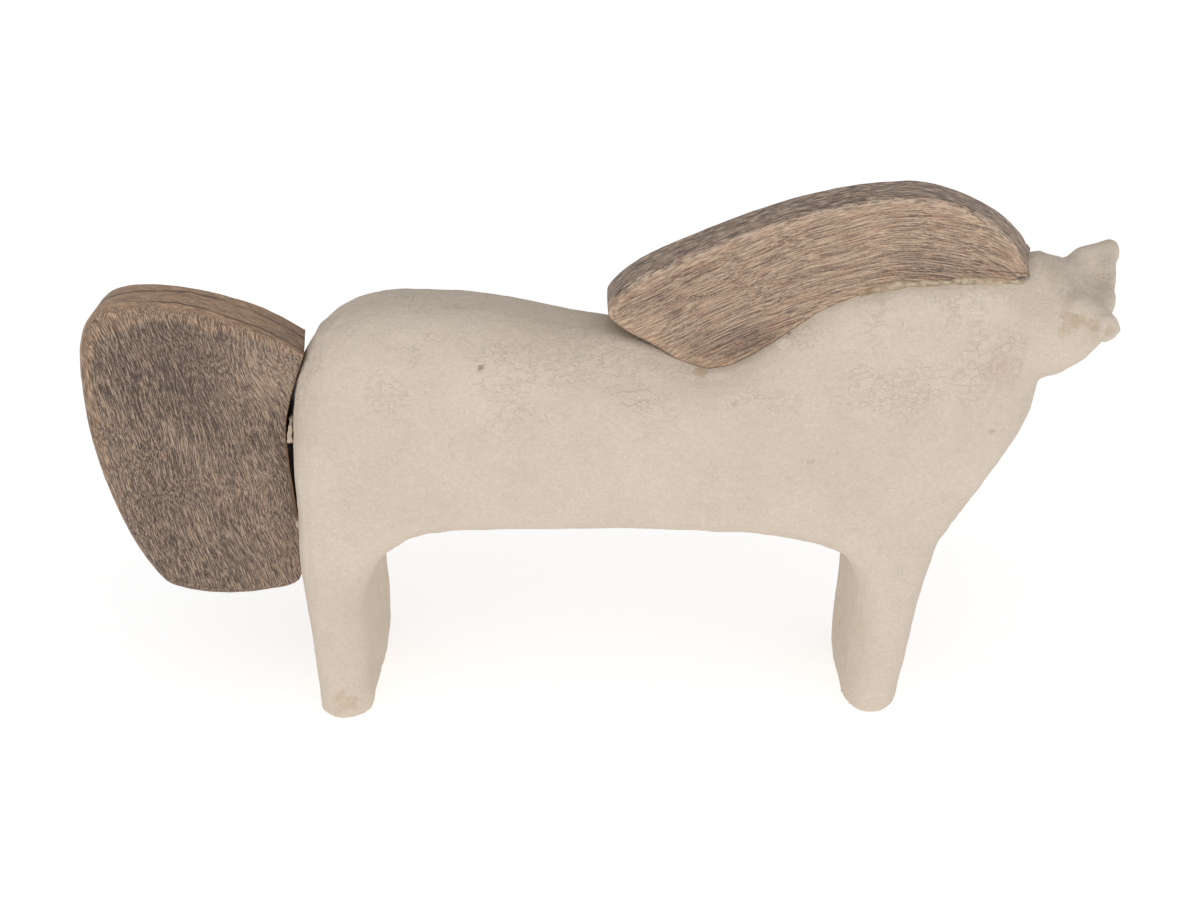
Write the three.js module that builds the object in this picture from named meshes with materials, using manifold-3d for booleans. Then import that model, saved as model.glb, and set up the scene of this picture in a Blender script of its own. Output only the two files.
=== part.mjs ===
// A horse figurine: a hand-formed paper-pulp body with a sawn wooden mane and tail.
// Millimetres, +X towards the head, +Y across the body, +Z up, soles on z = 0.
// The datum of x is halfway between the two leg slabs until the last lines centre the whole figure.

import * as THREE from "three";
import { mergeVertices } from "three/addons/utils/BufferGeometryUtils.js";
import Module from "manifold-3d";

const wasm = await Module();
wasm.setup();

// Fits
const clearance = 0.3; // air left between two pieces that touch
const pinClearance = 0.3; // air round a pin and past its end

// Torso and legs: each pair of legs is one slab as wide as the body
const halfWidth = 30; // half the width of barrel, hips and leg slabs
const legGap = 189.5; // between the facing sides of the two leg slabs
const hindThick = 22.5; // front to back, at the near end of the hind slab
const hindFlare = 5.4; // how much thicker the hind slab is at its far end
const foreThick = 20; // front to back, just above the fore foot
const footTaper = 3.4; // how much the hind slab draws in at its back, down to the sole
const foreFlare = 2; // the same for the fore slab
const foreSpread = 2.2; // how far the fore foot spreads backwards at the sole
const foreNarrow = 4; // how much narrower each side of the fore foot is at the sole
const soleTrim = 12; // what is left long below the soles and then cut flat
const bellyHeight = 80.5;
const hipHeight = 164.8;
const loinDrop = 8.2; // fall of the back between the hip and the middle of the barrel
const dipHeight = 141.5; // lowest point of the back, where the neck begins
const dipSetback = 58.5; // from the fore slab's inner side back to that point
const archHeight = 27; // height over which a slab runs into the belly
const archLength = 38; // length over which it does so

// Neck and head, with places counted forward of the fore slab's inner side
const crestHeight = 175.3; // top of the neck, under the mane
const crestEnd = 51.5; // where the mane ends and the bare poll begins
const pollRise = 5; // the poll above the crest
const pollAt = 57;
const browReach = 88.6; // the foremost point, between the ears
const browDrop = 11.5; // the brow's front edge below the crest
const throatHeight = 140;
const throatAt = 64; // where the face meets the throat
const chestAt = 42.6; // the chest line, halfway down to the leg
const chestHeight = 93.4;

// Widths and edge roundings over the neck and head
const shoulderHeight = 105; // above this the neck grows narrower
const crestHalfWidth = 19;
const pollHalfWidth = 21.5;
const lowRound = 11; // edges of legs, belly and chest
const backRound = 26; // the back is nearly a half circle across
const crestRound = 9;
const pollRound = 20;
const jawRound = 12;
const browRound = 8;

// Ears: two blunt cones that flare from the poll
const earBaseAt = 76;
const earTipAt = 85.7;
const earBaseSide = 17;
const earTipSide = 25.2;
const earBaseRadius = 5.4;
const earTipRadius = 4;
const earBaseDrop = 5.4; // middle of the ear's root below the crest
const earTipDrop = 6.4; // middle of the ear's tip below the crest
const browRadius = 3.6; // the edge that runs across from ear to ear
const browSag = 1.6; // how far it hangs between them
const browHollow = 1.6; // how far it is set back between them
const earBlend = 4; // softness of the joins

// The hand-made lean of the front end: y shifts the head back and down
const headTurn = 0.25; // millimetres of x per millimetre of y
const headTilt = 0.2; // millimetres of z per millimetre of y

// Wooden plates
const maneThick = 25;
const maneRise = 30.6; // highest point of the mane above the crest
const maneTailward = 37.6; // its rear tip behind the dip
const maneTipRound = 10; // rounding of that tip, seen from the side
const tailThick = 25;
const tailReach = 77; // from the rump back to the tail's far edge
const tailTop = 166.6;
const tailBottom = 45.2;
const tailHollow = 2.6; // how far the tail's inner edge stands off the rump at its middle
const plateRound = 4; // sanded edges of both plates

// Pins, pads and glue
const pinRadius = 3;
const pinDepth = 18; // how far each pin goes into either piece
const manePinsAt = [-24, 33]; // forward of the fore slab's inner side
const tailPinHeights = [77, 115];
const padHalfHeights = [5, 7]; // of the pulp round each tail pin
const padHalfWidths = [13.2, 14]; // they reach across to the tail's near and far face
const glueRadius = 2;
const glueFrom = -6; // stretch of the glue line, forward of the fore slab's inner side
const glueTo = 49;

const hindX = -legGap / 2;
const foreX = legGap / 2;
const rumpX = hindX - hindThick;
const dipX = foreX - dipSetback;
const browHeight = crestHeight - browDrop - 3; // where the brow's front edge turns down into the face

const mix = (a, b, t) => a + (b - a) * t;
const ramp = (from, to, value) => THREE.MathUtils.smoothstep(value, from, to);

// Side outline of the body, without the ears, as one closed run of points in x and z.
function bodyOutline() {
  const path = new THREE.Path();
  const hip = hindX + 21;
  const run = (points) => path.splineThru(points.map(([x, z]) => new THREE.Vector2(x, z)));
  path.moveTo(rumpX + footTaper, -soleTrim);
  path.lineTo(rumpX + footTaper, 0);
  path.bezierCurveTo(rumpX + footTaper - 1, 22, rumpX + 0.9, 40, rumpX, bellyHeight - 12);
  path.lineTo(rumpX, 108);
  path.bezierCurveTo(rumpX - 0.6, hipHeight - 15, rumpX + 12.6, hipHeight, hip, hipHeight);
  // the back, down to the dip
  run([
    [hip + 27, hipHeight - 1.8],
    [hip + 61, hipHeight - loinDrop],
    [dipX - 26, dipHeight + 10.4],
    [dipX - 10, dipHeight + 3.8],
    [dipX, dipHeight],
    // up the withers and along the crest
    [dipX + 10, dipHeight + 2.5],
    [dipX + 23, mix(dipHeight, crestHeight, 0.32)],
    [dipX + 42, mix(dipHeight, crestHeight, 0.73)],
    [foreX + 4.5, crestHeight - 2.6],
    [foreX + 32.5, crestHeight],
    [foreX + crestEnd - 4, crestHeight],
    // poll, brow and face
    [foreX + pollAt, crestHeight + pollRise],
    [foreX + pollAt + 8, crestHeight + pollRise - 2],
    [foreX + pollAt + 16, crestHeight + pollRise - 4.6],
    [foreX + browReach - 7, browHeight + 9],
    [foreX + browReach - 3.5, browHeight + 5],
    [foreX + browReach - 2.5, browHeight],
    [foreX + throatAt + 21.5, mix(throatHeight, browHeight, 0.68)],
    [foreX + throatAt + 14, mix(throatHeight, browHeight, 0.33)],
    [foreX + throatAt + 9, mix(throatHeight, browHeight, 0.13)],
    [foreX + throatAt + 4, mix(throatHeight, browHeight, 0.01)],
    [foreX + throatAt, mix(throatHeight, chestHeight, 0.02)],
    // throat and chest, down to the fore slab
    [foreX + throatAt - 1.2, mix(throatHeight, chestHeight, 0.13)],
    [foreX + throatAt - 4.2, mix(throatHeight, chestHeight, 0.43)],
    [foreX + chestAt, chestHeight],
    [foreX + foreThick + 10.4, chestHeight - 17.4],
    [foreX + foreThick + 6.4, bellyHeight - 18.5],
    [foreX + foreThick + 2, bellyHeight - 43],
    [foreX + foreThick, 14],
    [foreX + foreThick - 1.5, 0],
  ]);
  path.lineTo(foreX + foreThick - 1.5, -soleTrim);
  path.lineTo(foreX - foreSpread, -soleTrim);
  path.lineTo(foreX - foreSpread, 0);
  path.quadraticCurveTo(foreX, 18, foreX, 34);
  // under the belly, with one soft arch at each slab
  path.lineTo(foreX, bellyHeight - archHeight);
  const foreArch = foreX - archLength;
  path.bezierCurveTo(foreX, bellyHeight - 10, foreX - 14, bellyHeight - 5.8, foreArch, bellyHeight - 2.5);
  path.quadraticCurveTo(0, bellyHeight + 1.5, hindX + archLength, bellyHeight - 1);
  const archFoot = bellyHeight - archHeight - 8;
  path.bezierCurveTo(hindX + 16, bellyHeight - 0.5, hindX + 1, bellyHeight - 14, hindX, archFoot);
  path.lineTo(hindX, -soleTrim);
  return path.getPoints(8);
}

const outline = bodyOutline();

// Distance from (x, z) to the side outline: positive inside, negative outside.
function insideDistance(x, z) {
  let nearest = Infinity;
  let inside = false;
  for (let i = 0, j = outline.length - 1; i < outline.length; j = i++) {
    const a = outline[j];
    const b = outline[i];
    const ex = b.x - a.x;
    const ez = b.y - a.y;
    const length2 = ex * ex + ez * ez;
    const t = length2 ? THREE.MathUtils.clamp(((x - a.x) * ex + (z - a.y) * ez) / length2, 0, 1) : 0;
    nearest = Math.min(nearest, (x - a.x - ex * t) ** 2 + (z - a.y - ez * t) ** 2);
    if (a.y > z !== b.y > z && x < a.x + ((z - a.y) / ez) * ex) inside = !inside;
  }
  return (inside ? 1 : -1) * Math.sqrt(nearest);
}

// Half the width across the body at a place of the side view.
function halfWidthAt(x, z) {
  const neck = ramp(dipX - 20, dipX + 30, x) * ramp(shoulderHeight, crestHeight, z);
  const head = ramp(foreX + crestEnd, foreX + crestEnd + 18, x);
  const foot = foreNarrow * ramp(0, foreX, x) * (1 - ramp(0, bellyHeight / 2, z));
  return mix(mix(halfWidth, crestHalfWidth, neck), pollHalfWidth, head) - foot;
}

// Rounding of the edge between the side and the outline, at a place of the side view.
function edgeRoundAt(x, z) {
  const back = mix(backRound, crestRound, ramp(dipX - 25, dipX + 25, x));
  const headMargin = 0.23 * (crestHeight - throatHeight);
  const upHead = ramp(throatHeight + headMargin, crestHeight - headMargin, z);
  const poll = mix(jawRound, pollRound, upHead);
  const bare = mix(back, poll, ramp(foreX + crestEnd - 4, foreX + pollAt, x));
  const upper = mix(bare, browRound, ramp(foreX + earBaseAt - 8, foreX + earTipAt - 3, x));
  return mix(lowRound, upper, ramp(bellyHeight + 20, dipHeight + 4, z));
}

// A cone between two balls, as a distance.
function roundCone(p, a, b, radiusA, radiusB) {
  const axis = b.clone().sub(a);
  const t = THREE.MathUtils.clamp(p.clone().sub(a).dot(axis) / axis.lengthSq(), 0, 1);
  return p.distanceTo(a.clone().addScaledVector(axis, t)) - mix(radiusA, radiusB, t);
}

const softMin = (a, b, blend) => {
  const h = THREE.MathUtils.clamp(0.5 + (b - a) / (2 * blend), 0, 1);
  return mix(b, a, h) - blend * h * (1 - h);
};

const earBase = new THREE.Vector3(foreX + earBaseAt, earBaseSide, crestHeight - earBaseDrop);
const earTip = new THREE.Vector3(foreX + earTipAt, earTipSide, crestHeight - earTipDrop);
const browMiddle = new THREE.Vector3(foreX + earTipAt - browHollow, 0, crestHeight - earTipDrop - browSag);

// The lean of the front end: where a leaning point stands on the straight figure.
function straighten(x, y, z) {
  const turn = headTurn * ramp(foreX + 18, foreX + pollAt + 8, x);
  const tilt = headTilt * ramp(foreX + crestEnd - 8, foreX + earBaseAt, x);
  return [x - turn * y, z - tilt * y];
}

// How far the outline has moved forward at a place, because each leg slab grows thicker
// towards its far end, on the side that faces the other slab.
function flareAt(x, y, z) {
  const across = THREE.MathUtils.clamp((y + halfWidth) / (2 * halfWidth), 0, 1);
  const below = 1 - ramp(bellyHeight - archHeight, bellyHeight + 10, z);
  const fromBack = THREE.MathUtils.clamp((x - rumpX) / hindThick, 0, 1);
  const fromFront = THREE.MathUtils.clamp((foreX + foreThick - x) / foreThick, 0, 1);
  const hind = hindFlare * fromBack * (1 - ramp(hindX + archLength, 0, x));
  const fore = foreFlare * fromFront * ramp(0, foreX - archLength, x);
  return (hind - fore) * across * below;
}

// The body's surface is where this is 0; it is negative inside.
// A slab cut to the outline, its side edges rounded, joined softly with both ears.
function bodyField(x, y, z) {
  const [turned, v] = straighten(x, y, z);
  const u = turned - flareAt(x, y, z);
  const round = edgeRoundAt(u, v);
  const edge = -insideDistance(u, v);
  const side = Math.abs(y) - halfWidthAt(u, v);
  const corner = Math.hypot(Math.max(round + edge, 0), Math.max(round + side, 0));
  const slab = Math.min(-round, Math.max(edge, side)) + corner;
  if (u < foreX + crestEnd) return slab;
  const p = new THREE.Vector3(u, Math.abs(y), v);
  const ear = roundCone(p, earBase, earTip, earBaseRadius, earTipRadius);
  const brow = roundCone(p, browMiddle, earTip, browRadius, earTipRadius);
  return softMin(slab, softMin(ear, brow, earBlend / 2), earBlend);
}

function gradient(field, p, step = 0.02) {
  const g = new THREE.Vector3(
    field(p.x + step, p.y, p.z) - field(p.x - step, p.y, p.z),
    field(p.x, p.y + step, p.z) - field(p.x, p.y - step, p.z),
    field(p.x, p.y, p.z + step) - field(p.x, p.y, p.z - step),
  );
  return g.divideScalar(2 * step);
}

// Grid lines over several stretches, each given as its end and its step.
function gridLines(start, ...stretches) {
  const lines = [start];
  for (const [end, step] of stretches) {
    const from = lines.at(-1);
    const count = Math.max(1, Math.round((end - from) / step));
    for (let i = 1; i <= count; i++) lines.push(mix(from, end, i / count));
  }
  return lines;
}

// A grid cell's corners are numbered 0 to 7 with one bit for each axis, and an edge by its ends.
const axes = [0, 1, 2];
const edgeId = (m, n) => Math.min(m, n) * 8 + (m ^ n);

// The edges of one cell that the surface crosses, grouped into the separate sheets that they belong to.
// On a face with four crossings, each corner inside the body is cut off by a sheet of its own.
function sheetsOf(inside) {
  let sheets = [];
  const join = (...edges) => {
    const touched = sheets.filter((sheet) => edges.some((edge) => sheet.has(edge)));
    const rest = sheets.filter((sheet) => !touched.includes(sheet));
    sheets = [...rest, new Set([...edges, ...touched.flatMap((sheet) => [...sheet])])];
  };
  for (const axis of axes) {
    const [right, up] = [1 << ((axis + 1) % 3), 1 << ((axis + 2) % 3)];
    for (const side of [0, 1 << axis]) {
      const ring = [side, side + right, side + right + up, side + up];
      const edges = ring.map((corner, n) => edgeId(corner, ring[(n + 1) % 4]));
      const crossed = edges.filter((_, n) => inside[ring[n]] !== inside[ring[(n + 1) % 4]]);
      if (crossed.length === 2) join(...crossed);
      if (crossed.length < 4) continue;
      ring.forEach((corner, n) => inside[corner] && join(edges[n], edges[(n + 3) % 4]));
    }
  }
  return sheets;
}

// Surface of a field on a grid: one vertex in each cell for each sheet that passes through it,
// and one quad for each grid edge that is crossed.
function surfaceOf(field, lines) {
  const counts = lines.map((list) => list.length);
  const indexOf = ([i, j, k]) => (i * counts[1] + j) * counts[2] + k;
  const placeOf = (node) => new THREE.Vector3(...node.map((n, axis) => lines[axis][n]));
  const everyNode = (visit) => {
    for (let i = 0; i < counts[0]; i++) {
      for (let j = 0; j < counts[1]; j++) {
        for (let k = 0; k < counts[2]; k++) visit([i, j, k]);
      }
    }
  };
  const value = new Float64Array(counts[0] * counts[1] * counts[2]);
  everyNode((node) => (value[indexOf(node)] = field(...placeOf(node))));

  const positions = [];
  const normals = [];
  const vertexAt = new Map();
  const cornerOf = (cell, n) => cell.map((at, axis) => at + ((n >> axis) & 1));
  everyNode((cell) => {
    if (cell.some((at, axis) => at === counts[axis] - 1)) return;
    const corners = [0, 1, 2, 3, 4, 5, 6, 7].map((n) => cornerOf(cell, n));
    const values = corners.map((node) => value[indexOf(node)]);
    const low = placeOf(corners[0]);
    const high = placeOf(corners[7]);
    for (const sheet of sheetsOf(values.map((v) => v < 0))) {
      const middle = new THREE.Vector3();
      for (const edge of sheet) {
        const [m, n] = [edge >> 3, (edge >> 3) ^ (edge & 7)];
        const share = values[m] / (values[m] - values[n]);
        const crossing = placeOf(corners[m]).lerp(placeOf(corners[n]), share);
        middle.addScaledVector(crossing, 1 / sheet.size);
        vertexAt.set(indexOf(cell) * 64 + edge, positions.length / 3);
      }
      const point = drawnOnto(field, middle, low, high);
      positions.push(...point);
      normals.push(...gradient(field, point).normalize());
    }
  });

  const triangles = [];
  everyNode((node) => {
    for (const axis of axes) {
      const next = node.map((n, a) => n + (a === axis ? 1 : 0));
      if (next[axis] === counts[axis]) continue;
      const here = value[indexOf(node)] < 0;
      if (here === value[indexOf(next)] < 0) continue;
      const [b, c] = [(axis + 1) % 3, (axis + 2) % 3];
      const ring = [[1, 1], [0, 1], [0, 0], [1, 0]].map(([back, down]) => {
        const cell = node.map((n, a) => n - (a === b ? back : 0) - (a === c ? down : 0));
        const corner = (back << b) + (down << c);
        return vertexAt.get(indexOf(cell) * 64 + edgeId(corner, corner + (1 << axis)));
      });
      const [p, q, r, s] = here ? ring : ring.reverse();
      triangles.push(p, q, r, p, r, s);
    }
  });
  return { positions, normals, triangles };
}

// A point drawn onto the surface by steps down the slope, without leaving its cell,
// so that no two cells share a point.
function drawnOnto(field, start, low, high) {
  const inset = 0.08; // part of the cell's width that stays free on each side
  const point = start.clone();
  const from = low.clone().lerp(high, inset);
  const to = high.clone().lerp(low, inset);
  for (let pass = 0; pass < 4; pass++) {
    const slope = gradient(field, point);
    point.addScaledVector(slope, -field(...point) / slope.lengthSq());
    point.clamp(from, to);
  }
  return point;
}

function solidFrom(positions, triangles) {
  const mesh = new wasm.Mesh({
    numProp: 3,
    vertProperties: Float32Array.from(positions),
    triVerts: Uint32Array.from(triangles),
  });
  return new wasm.Manifold(mesh);
}

function solidOf(geometry) {
  geometry.deleteAttribute("normal");
  geometry.deleteAttribute("uv");
  const merged = mergeVertices(geometry, 1e-4);
  return solidFrom(merged.attributes.position.array, merged.index.array);
}

function geometryOf(solid) {
  const mesh = solid.getMesh();
  const geometry = new THREE.BufferGeometry();
  geometry.setAttribute("position", new THREE.BufferAttribute(Float32Array.from(mesh.vertProperties), 3));
  geometry.setIndex(new THREE.BufferAttribute(Uint32Array.from(mesh.triVerts), 1));
  geometry.computeVertexNormals();
  return geometry;
}

// A plate cut to an outline in x and z, centred on y = 0, with its edges rounded all round.
function roundedPlate(points, thick, round) {
  const shape = new THREE.Shape(points);
  const geometry = new THREE.ExtrudeGeometry(shape, {
    depth: thick - 2 * round,
    bevelThickness: round,
    bevelSize: round,
    bevelOffset: -round,
    bevelSegments: 4,
  });
  geometry.rotateX(Math.PI / 2);
  geometry.translate(0, thick / 2 - round, 0);
  return geometry;
}

// A cylinder between two points.
function rod(from, to, radius) {
  const axis = to.clone().sub(from);
  const geometry = new THREE.CylinderGeometry(radius, radius, axis.length(), 20);
  const up = new THREE.Vector3(0, 1, 0);
  geometry.applyQuaternion(new THREE.Quaternion().setFromUnitVectors(up, axis.clone().normalize()));
  const middle = from.clone().add(to).multiplyScalar(0.5);
  return geometry.translate(...middle);
}

// Height of the body's top at (x, y), found by halving between a point inside and one above.
function topOfBody(x, y) {
  let low = bellyHeight + 20;
  let high = crestHeight + 30;
  for (let pass = 0; pass < 30; pass++) {
    const middle = (low + high) / 2;
    if (bodyField(x, y, middle) < 0) low = middle;
    else high = middle;
  }
  return low;
}

// How far back the rump reaches at a height.
function rumpAt(z) {
  let inner = hindX - 4;
  let outer = rumpX - 10;
  for (let pass = 0; pass < 30; pass++) {
    const middle = (inner + outer) / 2;
    if (insideDistance(middle, z) > 0) inner = middle;
    else outer = middle;
  }
  return inner;
}

// Pins: two upright ones carry the mane, two level ones the tail
function pinSet() {
  const pins = [];
  manePinsAt.forEach((at, n) => {
    const top = topOfBody(foreX + at, 0);
    pins.push({
      name: ["mane_pin_rear", "mane_pin_front"][n],
      from: new THREE.Vector3(foreX + at, 0, top - pinDepth),
      to: new THREE.Vector3(foreX + at, 0, top + pinDepth),
    });
  });
  tailPinHeights.forEach((z, n) => {
    pins.push({
      name: ["tail_pin_lower", "tail_pin_upper"][n],
      from: new THREE.Vector3(rumpAt(z) - pinDepth, 0, z),
      to: new THREE.Vector3(rumpAt(z) + pinDepth, 0, z),
    });
  });
  return pins;
}

const pins = pinSet();

// The hole for a pin: a little wider than it and a little longer at both ends.
function pinHole({ from, to }) {
  const along = to.clone().sub(from).setLength(pinClearance);
  return solidOf(rod(from.clone().sub(along), to.clone().add(along), pinRadius + pinClearance));
}

const pinHoles = pins.map(pinHole);

// The body's skin, and the same skin grown outwards, which cuts the seats of the wood.
const headSteps = [foreX + browReach + 12, 3];
const bodySkin = surfaceOf(bodyField, [
  gridLines(rumpX - 6, [hindX + 14, 5.2], [foreX - 12, 8.5], [foreX + crestEnd, 5.4], headSteps),
  gridLines(-halfWidth - 6, [18 - halfWidth, 4], [halfWidth - 18, 6], [halfWidth + 6, 4]),
  gridLines(-soleTrim - 3, [throatHeight - 6, 6], [crestHeight + 12, 3.6]),
]);

function grownSkin(amount) {
  const positions = bodySkin.positions.map((value, n) => value + amount * bodySkin.normals[n]);
  return solidFrom(positions, bodySkin.triangles);
}

// A block between two opposite corners.
function block(low, high) {
  const size = high.clone().sub(low);
  const middle = low.clone().add(high).multiplyScalar(0.5);
  return solidOf(new THREE.BoxGeometry(...size).translate(...middle));
}

const roomX = legGap + 100; // far enough out to clear the figure on every side
const belowSoles = block(new THREE.Vector3(-roomX, -roomX, -roomX), new THREE.Vector3(roomX, roomX, 0));
const bodySolid = [belowSoles, ...pinHoles].reduce((solid, cut) => solid.subtract(cut), grownSkin(0));

// Mane: a long rounded plate, deepest over the withers, whose lower edge is cut to the crest.
function maneOutline() {
  const at = (share) => mix(dipX - maneTailward, foreX + crestEnd, share);
  const up = (share) => mix(dipHeight, crestHeight + maneRise, share);
  // the rear tip is an arc, left along the straight line that touches it and runs to the shoulder
  const middle = new THREE.Vector2(at(0) + maneTipRound, up(0.355));
  const shoulder = new THREE.Vector2(at(0.17), up(0.625));
  const sight = shoulder.clone().sub(middle);
  const slope = sight.angle() - Math.asin(maneTipRound / sight.length());
  const path = new THREE.Path();
  path.absarc(middle.x, middle.y, maneTipRound, 1.3 * Math.PI, 0.5 * Math.PI + slope, true);
  path.lineTo(shoulder.x, shoulder.y);
  // along the top to the highest point, and down the front
  path.bezierCurveTo(at(0.29), up(0.78), at(0.49), up(1), at(0.735), up(1));
  path.bezierCurveTo(at(0.82), up(1), at(0.985), up(0.87), at(1.047), up(0.565));
  path.lineTo(at(1.01), up(0.3));
  path.lineTo(dipX + 10, dipHeight - 10);
  path.closePath();
  return path.getPoints(12).slice(0, -1);
}

function maneSolid() {
  const geometry = roundedPlate(maneOutline(), maneThick, plateRound);
  const position = geometry.attributes.position;
  for (let n = 0; n < position.count; n++) {
    const [x, y, z] = [position.getX(n), position.getY(n), position.getZ(n)];
    position.setX(n, 2 * x - straighten(x, y, z)[0]);
  }
  return solidOf(geometry).subtract(grownSkin(clearance));
}

// Tail: a broad drop-shaped plate, whose inner edge is sawn a little hollow along the rump.
function tailEdge(z) {
  const top = tailTop - 18;
  const bottom = tailBottom + 8;
  const t = THREE.MathUtils.clamp((z - bottom) / (top - bottom), 0, 1);
  return rumpAt(z) - clearance - tailHollow * Math.sin(Math.PI * t);
}

function tailOutline() {
  const back = rumpX - tailReach;
  const path = new THREE.Path();
  const inner = rumpX + 12;
  path.moveTo(inner, tailTop - 24);
  path.bezierCurveTo(inner - 14, tailTop - 15.5, inner - 40, tailTop - 0.8, rumpX - 54, tailTop);
  path.bezierCurveTo(back + 9, tailTop, back, tailTop - 8.5, back, tailTop - 36);
  path.bezierCurveTo(back, tailBottom + 55, back + 9, tailBottom + 23, back + 21.5, tailBottom + 6.3);
  path.bezierCurveTo(back + 29, tailBottom - 2, rumpX - 12, tailBottom - 2, rumpX - 2, tailBottom + 7);
  path.bezierCurveTo(rumpX + 1, tailBottom + 11, rumpX + 6, tailBottom + 16, inner, tailBottom + 20);
  return path.getPoints(12);
}

// Everything on the rump's side of the tail's inner edge, from a given distance off it.
function rumpSide(offset) {
  const heights = gridLines(tailBottom - 20, [tailTop + 20, 6]);
  const edge = heights.map((z) => new THREE.Vector2(tailEdge(z) + offset, z)).reverse();
  const far = rumpX + 60;
  const shape = new THREE.Shape([
    new THREE.Vector2(far, heights[0]),
    new THREE.Vector2(far, heights.at(-1)),
    ...edge,
  ]);
  const geometry = new THREE.ExtrudeGeometry(shape, { depth: tailThick + 10, bevelEnabled: false });
  geometry.rotateX(Math.PI / 2);
  geometry.translate(0, tailThick / 2 + 5, 0);
  return solidOf(geometry);
}

const tailSolid = solidOf(roundedPlate(tailOutline(), tailThick, plateRound)).subtract(rumpSide(0));

// A pad of dried pulp round each tail pin, pressed out sideways in the gap between the rump and the tail.
function tailPad(n) {
  const z = tailPinHeights[n];
  const outer = new THREE.Shape();
  outer.absellipse(z, 0, padHalfHeights[n], padHalfWidths[n], 0, 2 * Math.PI);
  const depth = tailHollow + 8;
  const pad = new THREE.ExtrudeGeometry(outer, { depth, curveSegments: 16, bevelEnabled: false });
  pad.rotateY(-Math.PI / 2);
  pad.translate(rumpX + 4, 0, 0);
  const between = rumpSide(clearance).subtract(grownSkin(clearance));
  return solidOf(pad).intersect(between).subtract(pinHoles[n + 2]);
}

// Glue pressed out in a bead along the near side of the mane's seat.
function maneGlue() {
  const face = -maneThick / 2 - clearance;
  const y = face - glueRadius * 0.4;
  const route = gridLines(foreX + glueFrom, [foreX + glueTo, 6]).map((x) => {
    return new THREE.Vector3(x, y, topOfBody(x, y) + clearance);
  });
  const section = new THREE.Shape();
  section.absarc(0, 0, glueRadius, 0, 2 * Math.PI);
  const bead = new THREE.ExtrudeGeometry(section, {
    extrudePath: new THREE.CatmullRomCurve3(route),
    steps: route.length * 2,
    curveSegments: 5,
    bevelEnabled: false,
  });
  const inFront = block(new THREE.Vector3(-roomX, -roomX, 0), new THREE.Vector3(roomX, face, roomX));
  return solidOf(bead).intersect(inFront).subtract(grownSkin(clearance));
}

const woodMaterial = new THREE.MeshStandardMaterial({ color: 0x86756a, roughness: 0.7, metalness: 0 });
const maneMaterial = new THREE.MeshStandardMaterial({ color: 0xa08878, roughness: 0.7, metalness: 0 });
const pinMaterial = new THREE.MeshStandardMaterial({ color: 0xc2a57c, roughness: 0.75, metalness: 0 });
const pulpMaterial = new THREE.MeshStandardMaterial({ color: 0xd7c9b9, roughness: 0.9, metalness: 0 });
const glueMaterial = new THREE.MeshStandardMaterial({ color: 0xc4b394, roughness: 0.45, metalness: 0 });

const figure = new THREE.Group();

function add(name, geometry, material) {
  const mesh = new THREE.Mesh(geometry, material);
  mesh.name = name;
  figure.add(mesh);
  return mesh;
}

const mane = maneSolid().subtract(pinHoles[0]).subtract(pinHoles[1]);
const tail = tailSolid.subtract(pinHoles[2]).subtract(pinHoles[3]);

add("body", geometryOf(bodySolid), pulpMaterial);
add("mane", geometryOf(mane), maneMaterial);
add("tail", geometryOf(tail), woodMaterial);
pins.forEach(({ name, from, to }) => add(name, rod(from, to, pinRadius), pinMaterial));
["tail_pad_lower", "tail_pad_upper"].forEach((name, n) => add(name, geometryOf(tailPad(n)), pulpMaterial));

add("mane_glue", geometryOf(maneGlue()), glueMaterial);

// The whole figure stands centred over its own middle.
const box = new THREE.Box3().setFromObject(figure);
figure.position.set(-(box.min.x + box.max.x) / 2, -(box.min.y + box.max.y) / 2, -box.min.z);

export default figure;
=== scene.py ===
# Horse figurine: a hand-formed pulp body with a sawn wooden mane and tail.
# Metres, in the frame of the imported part: +X towards the head, +Y away from the shown side, +Z up.

import math

import bmesh
import bpy
import numpy as np
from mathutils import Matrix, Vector
from mathutils.bvhtree import BVHTree


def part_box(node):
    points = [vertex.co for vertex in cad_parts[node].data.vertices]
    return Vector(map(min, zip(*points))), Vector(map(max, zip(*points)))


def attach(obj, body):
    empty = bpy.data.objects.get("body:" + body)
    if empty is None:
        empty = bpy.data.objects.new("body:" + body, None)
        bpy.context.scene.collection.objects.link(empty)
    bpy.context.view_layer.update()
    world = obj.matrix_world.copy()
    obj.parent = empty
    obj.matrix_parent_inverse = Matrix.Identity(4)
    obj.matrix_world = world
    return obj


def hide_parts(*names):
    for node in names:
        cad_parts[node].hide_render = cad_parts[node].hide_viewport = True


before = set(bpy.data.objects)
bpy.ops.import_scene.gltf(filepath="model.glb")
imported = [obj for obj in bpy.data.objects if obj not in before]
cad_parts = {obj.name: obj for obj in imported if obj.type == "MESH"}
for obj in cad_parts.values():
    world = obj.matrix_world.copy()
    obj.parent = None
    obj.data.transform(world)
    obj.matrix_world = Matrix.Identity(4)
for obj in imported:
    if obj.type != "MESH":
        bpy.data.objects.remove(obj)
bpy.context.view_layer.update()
mm = 0.001
print("frame loaded:", sorted(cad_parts))

camera = {
    "pitch": 26,  # degrees below level
    "distance": 0.650,
    "aim": (-0.0022, 0.0, 0.10267),  # the point at the middle of the picture
    "lens": 51.32,
    "sensor": 36.0,
    "clip": (0.01, 50),
    "picture": (1200, 900),  # the size over which places in the picture are counted
}


pitch = math.radians(camera["pitch"])
forward = np.array([0, math.cos(pitch), -math.sin(pitch)])
upward = np.array([0, math.sin(pitch), math.cos(pitch)])


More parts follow.
